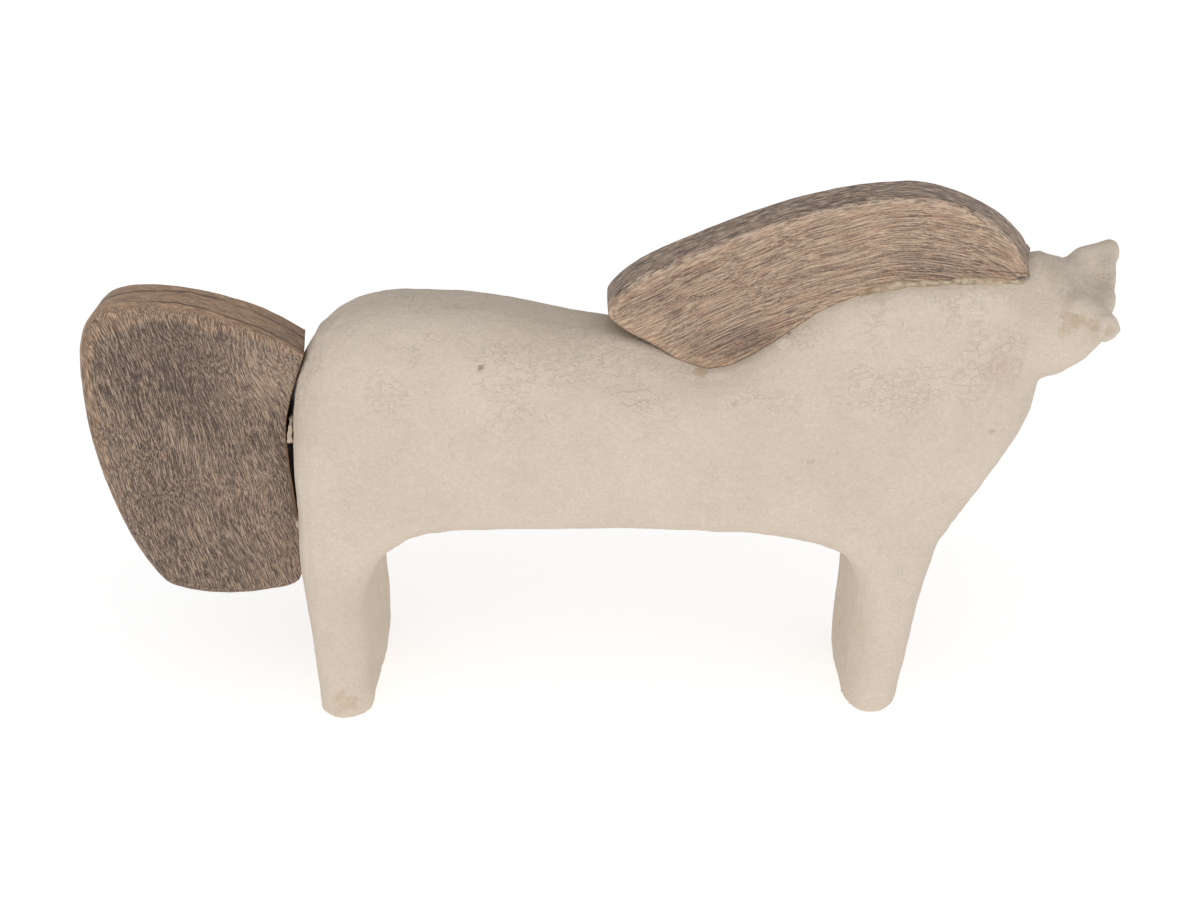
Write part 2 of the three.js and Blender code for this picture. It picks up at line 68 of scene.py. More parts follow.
def makeCamera():
    # the camera stands back from the aim point along its own line of sight
    data = bpy.data.cameras.new("camera")
    data.lens = camera["lens"]
    data.sensor_width = camera["sensor"]
    data.clip_start, data.clip_end = camera["clip"]
    eye = bpy.data.objects.new("camera", data)
    eye.location = Vector(camera["aim"]) - camera["distance"] * Vector(forward)
    eye.rotation_euler = (math.pi / 2 - pitch, 0, 0)
    bpy.context.scene.collection.objects.link(eye)
    bpy.context.scene.camera = eye


makeCamera()


def sightLine(across, down):
    # the eye, and the direction through a place of the picture:
    # forward + (places to the right - places down from the middle) / focal length
    right = np.array([1, 0, 0])
    wide, high = camera["picture"]
    focal = wide * camera["lens"] / camera["sensor"]
    eye = np.array(camera["aim"]) - camera["distance"] * forward
    direction = forward + ((across - wide / 2) * right - (down - high / 2) * upward) / focal
    return Vector(eye), Vector(direction)


# Small tools for shapes

norm = np.linalg.norm


def ramp(low, high, value):
    # 0 below low, 1 above high, with a smooth step between
    t = np.clip((value - low) / (high - low), 0, 1)
    return t * t * (3 - 2 * t)


def waves(points, size, seed, count=32):
    # sum of sine waves of about one length in random directions, with a spread of 1
    rng = np.random.default_rng(seed)
    direction = rng.normal(size=(3, count))
    direction /= norm(direction, axis=0)
    pitch = size * rng.uniform(0.7, 1.5, count)
    phase = rng.uniform(0, 2 * np.pi, count)
    return np.sin(points @ (direction * 2 * np.pi / pitch) + phase).sum(1) * math.sqrt(2 / count)


def vertexArray(mesh, kind="vertices", field="co"):
    flat = np.zeros(len(mesh.vertices) * 3, np.float32)
    getattr(mesh, kind).foreach_get(field, flat)
    return flat.reshape(-1, 3).astype(float)


def normalArray(mesh):
    return vertexArray(mesh, "vertex_normals", "vector")


def setVertices(mesh, points):
    mesh.vertices.foreach_set("co", points.astype(np.float32).ravel())
    mesh.update()


attributeKinds = {1: ("FLOAT", "value"), 3: ("FLOAT_VECTOR", "vector"), 4: ("FLOAT_COLOR", "color")}


def giveAttribute(mesh, name, values):
    # one value, vector or colour for each vertex, read by a material
    kind, field = attributeKinds[values[0].size]
    data = mesh.attributes.new(name, kind, "POINT").data
    data.foreach_set(field, np.ascontiguousarray(values, np.float32).ravel())


def addObject(name, mesh, smooth=True):
    mesh.shade_smooth() if smooth else mesh.shade_flat()
    piece = bpy.data.objects.new(name, mesh)
    bpy.context.scene.collection.objects.link(piece)
    return piece


def tube(name, rings):
    # closed rings of points, joined by quads, with a fan at each end
    rows, columns, _ = rings.shape
    points = np.concatenate([rings.reshape(-1, 3), rings[:1].mean(1), rings[-1:].mean(1)])
    one = np.arange(columns)
    two = (one + 1) % columns
    row = columns * np.arange(rows - 1)[:, None]
    quads = np.stack([row + one, row + two, row + columns + two, row + columns + one], -1).reshape(-1, 4)
    last = (rows - 1) * columns
    startFan = np.stack([np.full(columns, rows * columns), two, one], -1)
    endFan = np.stack([np.full(columns, rows * columns + 1), last + one, last + two], -1)
    mesh = bpy.data.meshes.new(name)
    mesh.from_pydata(points.tolist(), [], quads.tolist() + startFan.tolist() + endFan.tolist())
    mesh.validate()
    work = bmesh.new()
    work.from_mesh(mesh)
    bmesh.ops.recalc_face_normals(work, faces=work.faces)
    work.to_mesh(mesh)
    work.free()
    return mesh


def denseCopy(node, voxel):
    # a copy of a CAD node, made again in even small faces
    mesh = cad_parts[node].data.copy()
    mesh.materials.clear()
    work = bmesh.new()
    work.from_mesh(mesh)
    bmesh.ops.remove_doubles(work, verts=work.verts, dist=0.01 * mm)
    work.to_mesh(mesh)
    work.free()
    rough = bpy.data.objects.new("rough", mesh)
    bpy.context.scene.collection.objects.link(rough)
    remesh = rough.modifiers.new("remesh", "REMESH")
    remesh.mode = "VOXEL"
    remesh.voxel_size = voxel
    bpy.context.view_layer.update()
    dense = bpy.data.meshes.new_from_object(rough.evaluated_get(bpy.context.evaluated_depsgraph_get()))
    bpy.data.objects.remove(rough)
    return dense


def relaxed(mesh, points, passes, inward=0.5, outward=-0.53):
    # towards the mean of the neighbours, then a little further back, which keeps the volume
    ends = np.zeros(len(mesh.edges) * 2, np.int32)
    mesh.edges.foreach_get("vertices", ends)
    ends = ends.reshape(-1, 2)
    here, there = np.concatenate([ends, ends[:, ::-1]]).T
    shared = np.bincount(here, minlength=len(points))[:, None]
    for step in (inward, outward) * passes:
        total = [np.bincount(here, points[there, axis], len(points)) for axis in range(3)]
        points = points + step * (np.stack(total, 1) / shared - points)
    return points


# Body

pulpBody = {
    "voxel": 1.14 * mm, "smoothing": 10,
    "swell": 0.22 * mm,  # soft unevenness left by the hands
    "swellSize": 42 * mm, "ripple": 0.045 * mm, "rippleSize": 13 * mm, "crumb": 0.03 * mm,
    "crumbSize": 4.0 * mm,
    "side": 29.9 * mm,  # half the width that no bump goes beyond
    "sideRoom": 0.6 * mm,  # over which bumps are held back before it
    "soleRound": 1.4 * mm,
    "seatRoom": 3 * mm,  # round the wood, where the unevenness fades out
    "pits": 60, "pitRadius": (0.8 * mm, 1.6 * mm), "pitDepth": 0.22 * mm, "rump": -115.75 * mm,
    "hindThick": 22.5 * mm, "foreFront": 116.25 * mm, "foreThick": 20 * mm,
}

# Hollows and swellings on the near side: place in the picture, radius and height in millimetres
handMarks = [
    (481, 368, 1.1, -0.55), (736, 403, 0.9, -0.4), (881, 378, 0.9, -0.4), (877, 408, 0.8, -0.35),
    (811, 461, 0.8, -0.35), (893, 452, 0.8, -0.35), (995, 432, 0.8, -0.35), (583, 463, 1.0, -0.25),
    (656, 487, 1.0, -0.25), (470, 346, 3.0, -0.35), (520, 345, 3.5, -0.35), (605, 378, 7.0, -0.35),
    (640, 402, 4.0, -0.3), (405, 512, 4.0, 0.25), (782, 343, 3.0, 0.35), (452, 449, 4.0, -0.25),
]

# Where the hands pushed the mass, from ears and brow over jaw, rump and chest to the feet:
# place, radius and shift, all in millimetres
handMoves = [
    ((186, 22, 175), 9, (-0.1, 0, -1.2)), ((176, 20, 177), 6, (0, 0, -1.0)),
    ((190, 22, 170), 5, (0.5, 0, 0)), ((170, 12, 179), 7, (0, 0, -1.0)), ((178, 4, 172), 7, (0, 0, -2.6)),
    ((171, -6, 172), 7, (0, 0, -1.2)), ((166, 0, 176), 8, (0, 0, -0.6)),
    ((154.3, 10, 181.5), 5.5, (0, 0, 0.9)), ((184, 6, 168), 8, (1.1, 0, 0)),
    ((181, -6, 167), 6, (1.1, 0, 0)), ((181, -18, 166), 5, (-1.3, 0, -0.8)),
    ((179.5, -20, 164), 4, (-1.0, 0, -0.2)), ((180, -27, 162), 5, (0.9, 0, -1.0)),
    ((180.5, -25.5, 162), 2.5, (0.5, -0.2, 0)), ((174.5, -26, 158.5), 3.8, (0.2, 0, -2.6)),
    ((175.5, -16.5, 150.8), 4, (-0.8, 0.2, 0.8)), ((166, -14, 145), 8, (-0.5, 0, 0.7)),
    ((154, -10, 131), 9, (0.8, 0, 0)), ((-113, 0, 134), 11, (-1.2, 0, 0.1)),
    ((-115, -14, 86), 16, (0.9, 0, 0)), ((-98, 12, 153), 11, (0.2, 0, -0.4)),
    ((138, -18, 96), 9, (-0.7, 0, 0)), ((134, -15, 84), 10, (-0.3, 0, 0)),
    ((-68, -20, 78), 17, (0, 0, 0.5)), ((-88, 18, 32), 13, (0.8, 0, 0)), ((94, 16, 17), 11, (-0.8, 0, 0)),
    ((114, -22, 26), 10, (0.4, 0, 0)), ((-104, -20, 4), 9, (0.7, 0, 0)), ((-93, -24, 4), 8, (1.1, 0, 0)),
    ((116, -20, 6), 9, (0.2, 0, 0)),
]

# Cracks and creases as runs of places in the picture, each with its strength; the pulp paints them as thin
# lines of shade
cracks = [
    (0.40, [(622, 403), (628, 406), (635, 404), (642, 400)]),
    (0.20, [(583, 380), (591, 385), (601, 388)]), (0.20, [(612, 394), (624, 391), (638, 390)]),
    (0.20, [(554, 369), (561, 374), (568, 381), (574, 386), (581, 390)]),
    (0.25, [(452, 441), (449, 446), (450, 452), (454, 458)]),
    (0.20, [(465, 339), (469, 342), (475, 345)]), (0.20, [(516, 339), (521, 342), (525, 350)]),
    (0.15, [(596, 376), (606, 373), (617, 375)]), (0.15, [(606, 388), (618, 384), (628, 386)]),
    (0.15, [(399, 509), (407, 512), (416, 510)]), (0.20, [(1086, 262), (1092, 257), (1103, 255)]),
]

# Stains, with painted shade in hollows and on the poll and painted light below the mane: place in the
# picture, radius in millimetres, screen colour and strength
stainsAndPaintedLight = [
    (345, 702, 6.0, (190, 163, 132), 0.4), (1068, 319, 2.4, (183, 161, 130), 0.45),
    (1078, 322, 3.1, (183, 161, 130), 0.55), (1092, 325, 2.2, (189, 169, 142), 0.5),
    (1108, 331, 2.4, (184, 166, 140), 0.5), (1066, 328, 2.6, (190, 170, 142), 0.45),
    (998, 372, 9.0, (202, 180, 163), 0.45), (1012, 345, 7.0, (206, 187, 170), 0.35),
    (700, 371, 3.0, (193, 168, 136), 0.6), (622, 395, 9.0, (202, 188, 171), 0.35),
    # (920, 300) and (970, 298) are painted light: the lighter lit rim of the crest below the mane
    (920, 300, 12.0, (222, 209, 192), 0.5), (970, 298, 9.0, (222, 209, 192), 0.5),
    # (1054, 268) is painted shade on the up-facing top of the head behind the ears
    (1030, 300, 9.0, (203, 189, 172), 0.4), (1054, 268, 9.0, (198, 183, 165), 0.5),
    (782, 343, 3.4, (228, 216, 201), 0.8), (789, 334, 1.1, (126, 107, 89), 0.7),
    (901, 573, 1.0, (236, 229, 220), 0.6), (540, 330, 22.0, (204, 188, 169), 0.35),
    # the small dark marks from (481, 368) on sit in hollows of handMarks and are painted shade in these pits
    (481, 368, 1.2, (134, 116, 98), 0.7), (736, 403, 0.8, (164, 146, 126), 0.35),
    (881, 378, 0.8, (164, 146, 126), 0.35), (811, 461, 0.8, (164, 146, 126), 0.35),
    (995, 432, 0.9, (164, 146, 126), 0.4),
]


def screenColour(red, green, blue):
    # a screen colour from 0 to 255 as the linear one that shaders take
    share = np.array([red, green, blue]) / 255
    return np.where(share <= 0.04045, share / 12.92, ((share + 0.055) / 1.055) ** 2.4)


def nearWood(points, reach):
    # 1 at the boxes of mane and tail, fading to 0 at the reach from them
    share = np.zeros(len(points))
    for node in ("mane", "tail"):
        low, high = np.array(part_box(node))
        apart = norm(np.maximum(np.maximum(low - points, points - high), 0), axis=1)
        share = np.maximum(share, 1 - ramp(0, reach, apart))
    return share


feet = {
    "side": 30 * mm,  # half the body's width
    "low": (0, 16 * mm),  # heights over which the hind slab's draw fades
    "lowest": (0, 9 * mm),  # and the fore slab's
    "below": (48 * mm, 72 * mm),  # heights over which both end
    "hindTo": (-70 * mm, -40 * mm), "foreFrom": (40 * mm, 70 * mm), "hindDraw": 2.6 * mm,
    "foreDraw": 0.5 * mm,
    "soleDraw": 1.6 * mm,  # added to the fore slab's at its sole
}


def shapedFeet(points):
    # the leg slabs' inner faces draw in at their far ends, most at the soles:
    # draw * across^1.8 at the hind slab, draw * across^1.2 at the fore slab
    x, y, z = points.T
    across = np.clip((y + feet["side"]) / (2 * feet["side"]), 0, 1)
    hind = np.clip((x - pulpBody["rump"]) / pulpBody["hindThick"], 0, 1) * (1 - ramp(*feet["hindTo"], x))
    fore = np.clip((pulpBody["foreFront"] - x) / pulpBody["foreThick"], 0, 1) * ramp(*feet["foreFrom"], x)
    shift = fore * across**1.2 * (feet["foreDraw"] + feet["soleDraw"] * (1 - ramp(*feet["lowest"], z)))
    shift -= hind * across**1.8 * feet["hindDraw"] * (1 - ramp(*feet["low"], z))
    moved = points.copy()
    moved[:, 0] += shift * (1 - ramp(*feet["below"], z))
    return moved


def limitAt(points, chosen, sign):
    # how far the chosen points reach along x (sign 1) or against it (sign -1) at each height,
    # as a mean of five steps
    step, nothing = 2 * mm, -1.0
    rows = (points[chosen, 2] / step).astype(int)
    reach = np.full(rows.max() + 1, nothing)
    np.maximum.at(reach, rows, sign * points[chosen, 0])
    heights = (np.arange(len(reach)) + 0.5) * step
    known = reach > nothing
    reach = np.interp(heights, heights[known], reach[known])
    reach = np.convolve(np.pad(reach, 2, mode="edge"), np.full(5, 1 / 5), mode="valid")
    return sign * np.interp(points[:, 2], heights, reach)


uprightEdges = {
    "near": (-4 * mm, -24 * mm),  # places across the body over which the rounding sets in
    "side": -12 * mm,  # the points beyond it show how far chest and fore slab reach
    "foreFrom": 55 * mm, "chestTop": 130 * mm, "innerTop": 66 * mm, "frontReach": 9 * mm,
    "backReach": 8 * mm,
    "frontEnd": (105 * mm, 125 * mm),  # heights over which the front edge's rounding ends
    "backEnd": (42 * mm, 58 * mm), "depth": 6 * mm, "ahead": 1 * mm,
}


def roundedEdges(points):
    # the near side curves back towards the upright edges of chest and fore slab:
    # shift = depth * (1 - sqrt(1 - share^2)), where share rises to 1 at the edge
    edge = uprightEdges
    x, y, z = points.T
    fore = x > edge["foreFrom"]
    near = fore & (y < edge["side"])
    chest = limitAt(points, near & (z < edge["chestTop"]), 1)
    inner = limitAt(points, near & (z < edge["innerTop"]), -1)
    front = np.clip(1 - (chest - x) / edge["frontReach"], 0, 1) * fore * (1 - ramp(*edge["frontEnd"], z))
    back = np.clip(1 - (x - inner) / edge["backReach"], 0, 1) * fore * (1 - ramp(*edge["backEnd"], z))
    turn = 2 - np.sqrt(1 - front**2) - np.sqrt(1 - back**2)
    moved = points.copy()
    moved[:, 1] += ramp(*edge["near"], y) * edge["depth"] * turn
    moved[:, 0] += ramp(0, edge["side"], y) * edge["ahead"] * front**2
    return moved


def bell(points, centre, radius):
    # 1 at the centre, and exp(-(distance / radius)^2) away from it
    return np.exp(-((norm(points - centre, axis=1) / radius) ** 2))


def pushed(points):
    # each push moves its place by the shift, and what lies round it by a bell's share
    for place, radius, shift in handMoves:
        points = points + bell(points, np.array(place) * mm, radius * mm)[:, None] * np.array(shift) * mm
    return points


def unevenness(points, normals, onBody):
    # swells, ripples and crumbs, inwards only at the sides; random pits; marks of the picture
    sides = np.abs(normals[:, 1]) ** 3
    lift = 0
    for name, seed, inner in (("swell", 3, 1.2), ("ripple", 5, 1), ("crumb", 8, 1)):
        lift += pulpBody[name] * (waves(points, pulpBody[name + "Size"], seed) - inner * sides)
    rng = np.random.default_rng(11)
    for centre in points[rng.integers(0, len(points), pulpBody["pits"])]:
        lift -= pulpBody["pitDepth"] * bell(points, centre, rng.uniform(*pulpBody["pitRadius"]))
    for across, down, radius, height in handMarks:
        lift += height * mm * bell(points, onBody(across, down), radius * mm)
    return lift


def keptNarrow(points):
    # the sides near the limit without reaching it: limit - room * exp(-(how far into the room) / room)
    limit, room = pulpBody["side"], pulpBody["sideRoom"]
    over = np.maximum(np.abs(points[:, 1]) - limit + room, 0)
    soft = np.sign(points[:, 1]) * (limit - room * np.exp(-over / room))
    points[:, 1] = np.where(over > 0, soft, points[:, 1])
    return points


def flatSoles(points, normals):
    # the sides draw in over the last stretch by a quarter circle, and the sole itself is flat
    radius = pulpBody["soleRound"]
    low = np.clip(radius - points[:, 2], 0, radius)
    draw = radius - np.sqrt(radius**2 - low**2)
    level = normals[:, :2] / np.maximum(norm(normals[:, :2], axis=1, keepdims=True), 0.3)
    points[:, :2] -= level * draw[:, None]
    low, high = np.array(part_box("body"))
    return np.clip(points, low, high)


def stainAndPaintedLightTint(points, onBody):
    # the strongest mark, stain or painted light, colours each point; its share falls raggedly towards its
    # radius
    tint = np.zeros((len(points), 4))
    ragged = 0.18 * (waves(points, 5 * mm, 60) + 0.7 * waves(points, 2.4 * mm, 61))
    for across, down, radius, colour, strength in stainsAndPaintedLight:
        apart = norm(points - onBody(across, down), axis=1) / (radius * mm)
        whole = 0.35 if radius > 5 else 0.75
        share = strength * (1 - ramp(whole, 1.1, apart + ragged))
        tint[:, :3] = np.where(share[:, None] > tint[:, 3:], screenColour(*colour), tint[:, :3])
        tint[:, 3] = np.maximum(tint[:, 3], share)
    return tint


crackFade = {
    "along": (0.4 * mm, 1.6 * mm),  # past either end
    "across": (1.5 * mm, 3.0 * mm),
    "facing": (0, -0.9, 0.44),  # towards the viewer
}


def crackLines(points, onBody):
    # signed distance across the strongest crack in millimetres, and its fading strength
    crack = np.zeros((len(points), 3))
    for strength, places in cracks:
        line = np.array([onBody(*place) for place in places])
        for one, two in zip(line[:-1], line[1:]):
            reach = norm(two - one)
            ahead = (two - one) / reach
            along = (points - one) @ ahead
            sideways = np.cross(ahead, crackFade["facing"])
            across = (points - one) @ (sideways / norm(sideways)) / mm
            apart = norm(points - one - along[:, None] * ahead, axis=1)
            beyond = np.maximum(np.maximum(-along, along - reach), 0)
            near = strength * (1 - ramp(*crackFade["along"], beyond))
            near *= 1 - ramp(*crackFade["across"], apart)
            better = near > crack[:, 1]
            crack[better, 0] = across[better]
            crack[better, 1] = near[better]
    return crack


def makeBody():
    mesh = denseCopy("body", pulpBody["voxel"])
    points = pushed(roundedEdges(shapedFeet(relaxed(mesh, vertexArray(mesh), pulpBody["smoothing"]))))
    setVertices(mesh, points)
    normals = normalArray(mesh)
    tree = BVHTree.FromPolygons(points.tolist(), [tuple(face.vertices) for face in mesh.polygons])

    def onBody(across, down):
        return np.array(tree.ray_cast(*sightLine(across, down))[0])

    lift = unevenness(points, normals, onBody) * (1 - nearWood(points, pulpBody["seatRoom"]))
    setVertices(mesh, flatSoles(keptNarrow(points + normals * lift[:, None]), normals))
    giveAttribute(mesh, "tint", stainAndPaintedLightTint(points, onBody))
    giveAttribute(mesh, "crack", crackLines(points, onBody))
    piece = addObject("pulp_body", mesh)
    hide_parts("body")
    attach(piece, "root")
    return piece


body = makeBody()
print("body made:", len(body.data.polygons), "faces")


def bodyTop(xs, ys):
    # heights of the body's top over a grid of x and y, by looking down on it
    tree = BVHTree.FromObject(body, bpy.context.evaluated_depsgraph_get())
    down = Vector((0, 0, -1))
    heights = np.array([[tree.ray_cast(Vector((x, y, 1)), down)[0].z for y in ys] for x in xs])
    # over a pin hole the height runs straight across
    holeSide, holeDepth = 4 * mm, 1 * mm
    across = np.abs(ys) > holeSide
    for i, row in enumerate(heights):
        bridge = np.interp(ys, ys[across], row[across])
        heights[i] = np.where(~across & (row < bridge - holeDepth), bridge, row)
    return heights


crestMap = {"x": np.linspace(0 * mm, 165 * mm, 150), "y": np.linspace(-20 * mm, 15 * mm, 22)}
crestMap["z"] = bodyTop(crestMap["x"], crestMap["y"])


def topAt(x, y):
    # height of the body's top, between the four nearest places of the map
    xs, ys, heights = crestMap["x"], crestMap["y"], crestMap["z"]
    column = np.clip((x - xs[0]) / (xs[1] - xs[0]), 0, len(xs) - 1.001)
    row = np.clip((y - ys[0]) / (ys[1] - ys[0]), 0, len(ys) - 1.001)
    i, j = column.astype(int), row.astype(int)
    s, t = column - i, row - j
    near = heights[i, j] * (1 - s) + heights[i + 1, j] * s
    far = heights[i, j + 1] * (1 - s) + heights[i + 1, j + 1] * s
    return near * (1 - t) + far * t


# Wooden plates


def bezier(*points, count=60):
    # cubic curve from first to last, pulled towards the two between
    a, b, c, d = np.array(points, float) * mm
    t = np.linspace(0, 1, count)[:, None]
    return (1 - t) ** 3 * a + 3 * (1 - t) ** 2 * t * b + 3 * (1 - t) * t**2 * c + t**3 * d


def through(*points, count=16):
    # cubic pieces through all the points, with slopes from their neighbours
    points = np.array(points, float) * mm
    slope = np.gradient(points, axis=0)
    t = np.linspace(0, 1, count, endpoint=False)[:, None]
    pieces = [
        (2 * t**3 - 3 * t**2 + 1) * one
        + (t**3 - 2 * t**2 + t) * leave
        + (3 * t**2 - 2 * t**3) * two
        + (t**3 - t**2) * arrive
        for one, two, leave, arrive in zip(points[:-1], points[1:], slope[:-1], slope[1:])
    ]
    return np.concatenate([*pieces, points[-1:]])


def evenly(path, count):
    # a closed run of points, taken again at equal distances along it
    path = np.concatenate([path, path[:1]])
    step = norm(np.diff(path, axis=0), axis=1)
    path = path[np.concatenate([[True], step > 1e-7])]
    along = np.concatenate([[0], np.cumsum(norm(np.diff(path, axis=0), axis=1))])
    at = np.linspace(0, along[-1], count, endpoint=False)
    return np.stack([np.interp(at, along, path[:, axis]) for axis in range(2)], 1)


def outwardOf(outline):
    # the outline's directions turned by a quarter, away from its middle
    ahead = np.roll(outline, -1, 0) - np.roll(outline, 1, 0)
    outward = np.stack([ahead[:, 1], -ahead[:, 0]], 1)
    outward /= norm(outward, axis=1, keepdims=True)
    return outward * np.sign(np.sum(outward * (outline - outline.mean(0))))


def plateRings(piece, outline, keen, centre, roundRows=9, bandRows=14):
    # Rings run from the middle of the near face out to its rim, over a quarter circle to the edge,
    # across the edge and back in over the far face. Each ring is the outline drawn in by
    # rounding * (1 - sin) at the height halfThick - rounding * (1 - cos), or shrunk to the centre.
    # The rounding is least where keen is 1. Distances from the outline come with the rings.
    halfThick, most, least = piece["halfThick"], piece["rounding"], piece["leastRounding"]
    rounding = most + (least - most) * keen
    outward = outwardOf(outline)
    rim = outline - outward * rounding[:, None]
    spread = np.linspace(0.02, 1, piece["faceRows"]) ** 0.8
    near = [(centre + (rim - centre) * share, 0 * rounding - halfThick) for share in spread]
    for turn in np.linspace(0, np.pi / 2, roundRows)[1:]:
        flat = rim + outward * (rounding * np.sin(turn))[:, None]
        near.append((flat, rounding * (1 - np.cos(turn)) - halfThick))
    shares = np.linspace(-1, 1, bandRows)[1:-1]
    band = [(outline, (halfThick - rounding) * share) for share in shares]
    far = [(flat, -y) for flat, y in near[::-1]]
    rings = np.array([np.stack([flat[:, 0], y, flat[:, 1]], 1) for flat, y in near + band + far])
    return rings, norm(rings[:, :, [0, 2]] - outline, axis=2)


plateSurface = {
    "swell": 0.07 * mm, "swellSize": 26 * mm, "sanding": 0.03 * mm, "sandingSize": 7 * mm,
    "sunk": 0.12 * mm,  # so that no swell passes the plate's own outline
}


def softPatches(p, patches):
    # sum of bells: weight * exp(-((x - at + lean * (z - height)) / wide)^2 - ((z - height) / high)^2)
    x, z = p[:, 0], p[:, 2]
    total = 0 * x
    for weight, at, height, wide, high, lean in patches:
        total += weight * np.exp(-(((x - at + lean * (z - height)) / wide) ** 2) - ((z - height) / high) ** 2)
    return total


def finishPlate(name, rings, rim, outline, node, fibre, shade, rimWidth):
    # attributes for the wood: grain and edge are places along and across in millimetres, turned is
    # 0 on the face and 1 on the edge, rim is 0 at the outline, and shade lightens
    mesh = tube(name, rings)
    points, normals = vertexArray(mesh), normalArray(mesh)
    uneven = plateSurface["swell"] * waves(points, plateSurface["swellSize"], 71)
    uneven += plateSurface["sanding"] * waves(points * (1, 3, 1), plateSurface["sandingSize"], 72)
    giveAttribute(mesh, "grain", fibre(points / mm))
    giveAttribute(mesh, "turned", 1 - np.abs(normals[:, 1]))
    inward = np.concatenate([rim.ravel(), [1, 1]]) / mm
    giveAttribute(mesh, "rim", inward / rimWidth(points / mm))
    giveAttribute(mesh, "shade", shade(points / mm))
    along = np.cumsum(norm(outline - np.roll(outline, 1, 0), axis=1))
    along = np.concatenate([np.broadcast_to(along, rim.shape).ravel(), [0, 0]])
    giveAttribute(mesh, "edge", np.stack([along, points[:, 1], 0 * along], 1) / mm)
    setVertices(mesh, points + normals * (uneven - plateSurface["sunk"])[:, None])
    piece = addObject(name, mesh)
    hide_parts(node)
    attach(piece, "root")
    return piece


woodTail = {
    "halfThick": 12.5 * mm, "rounding": 4.0 * mm, "leastRounding": 0.6 * mm, "columns": 460,
    "rump": -115.75, "top": 166.6, "bottom": 45.2, "reach": 77, "skew": -0.13,
    "corner": (-110.9, 147.0),  # of the sawn inner edge, at the top
    "toe": (-118.2, 53),  # and at the foot
    "faceRows": 60,
    # the sawn edge in this box is painted near-black as the shade of the narrow gap by the rump
    "sawn": ((-119.6, -11.7, 56), (0, 11.7, 141)),  # the box round the sawn edge
    # darker and lighter patches, as softPatches takes them
    "patches": [
        (-0.20, -163, 138, 22, 20, 0),
        (0.26, -122, 138, 16, 15, 0),
        (0.20, -153.65, 108, 4, 11, 0.55),
        (-0.10, -166, 90, 14, 22, 0),
    ],
}


def tailFibre(p):
    # upright fibres that lean back at top and foot and swirl in the upper corner:
    # across = x + lean + swirl
    x, y, z = p.T
    lean = 0.16 * (z - 105) + 0.0016 * np.maximum(z - 130, 0) ** 2 - 0.0022 * np.maximum(95 - z, 0) ** 2
    swirl = 6 * np.exp(-((x + 124) ** 2 + (z - 150) ** 2) / 20**2)
    across = x + lean + swirl + 0.8 * waves(p, 34, 81)
    return np.stack([z - 0.2 * x, across, y + 0.9 * waves(p * (1, 0.4, 1), 30, 82)], 1)


def tailShade(p):
    # patches; less than -1 stands for painted shade of the narrow gap, on the sawn edge
    low, high = woodTail["sawn"]
    return np.where(((p > low) & (p < high)).all(1), -2.0, softPatches(p, woodTail["patches"]))


def tailRim(p):
    # width of the worn rim in millimetres: wide at the back, narrow at foot and sawn edge
    x, z = p[:, 0], p[:, 2]
    width = 1.5 + 4.2 * (1 - ramp(-178, -150, x)) * ramp(75, 120, z) + 3.4 * ramp(140, 158, z)
    width *= 1 - 0.7 * ramp(-128, -119, x) * (1 - ramp(140, 150, z))
    return np.maximum(width * (1 + 0.12 * waves(p, 14, 83)), 0.3)


def makeTail():
    rump, top, bottom = woodTail["rump"], woodTail["top"], woodTail["bottom"]
    back = rump - woodTail["reach"]
    corner, toe = woodTail["corner"], woodTail["toe"]
    crown, hip, heel = (rump - 54, top - 0.3), (back + 0.1, top - 36), (back + 21.5, bottom + 6.3)
    upper = bezier(corner, (-120, 153.6), (-141, 166.3), crown)
    shoulder = bezier(crown, (back + 6.9, top - 0.3), (back + 0.3, top - 6.7), hip)
    side = bezier(hip, (back, bottom + 55), (back + 9, bottom + 23), heel)
    foot = bezier(heel, (back + 29, bottom - 2), (rump - 12, bottom - 2), toe)
    edge = through(
        toe, (-116.5, 58.3), (-116.2, 67.5), (-116.9, 77.5), (-117.8, 92), (-118.7, 106.7), (-118.3, 119),
        (-116.2, 129.9), (-113.7, 139.2), corner,
    )
    outline = evenly(np.concatenate([upper, shoulder, side, foot, edge[1:-1]]), woodTail["columns"])
    # less rounding towards the ends of top and foot, and least on the sawn edge
    x, z = outline.T
    atTop = ramp(-30 * mm, 0, x - corner[0] * mm) * (z > 100 * mm)
    atFoot = ramp(-12 * mm, 0, x - toe[0] * mm) * (z < 60 * mm)
    keen = np.maximum(np.maximum(atTop, atFoot), ramp(0.7, 0.9, outwardOf(outline)[:, 0]))
    centre = np.array([(back + rump) / 2, (top + bottom) / 2]) * mm
    rings, rim = plateRings(woodTail, outline, keen, centre)
    # the sawn inner edge stands askew towards its top
    x, y, z = np.moveaxis(rings, 2, 0)
    x += woodTail["skew"] * y * ramp(-135 * mm, -114 * mm, x) * ramp(118 * mm, 146 * mm, z)
    return finishPlate("wood_tail", rings, rim, outline, "tail", tailFibre, tailShade, tailRim)


tail = makeTail()
print("tail made:", len(tail.data.polygons), "faces")

woodMane = {
    "halfThick": 12.5 * mm, "rounding": 4.0 * mm, "leastRounding": 0.2 * mm, "columns": 560,
    "turn": 0.25,
    "tip": 0.15,  # the rear tip, and the stretch from it over which the outline is shared out
    "length": 147.6, "dip": 141.5, "rise": 64.4, "front": 152.5, "seatFrom": 25.0, "gap": 0.12,
    "centre": (82, 180), "faceRows": 64,
    "turnOver": (114.5 * mm, 161.5 * mm),  # the stretch over which it turns with the head
    "tiltOver": (136 * mm, 147 * mm),  # and over which the crest's slope across gives way to its own
    "tilt": (0.11, 0.04),  # on the near and on the far side
    "patches": [
        (-0.22, 55, 152, 22, 7, 0),
        (0.14, 14, 158, 10, 6, 0),
        (-0.15, 124, 181, 26, 9, 0),
    ],
}


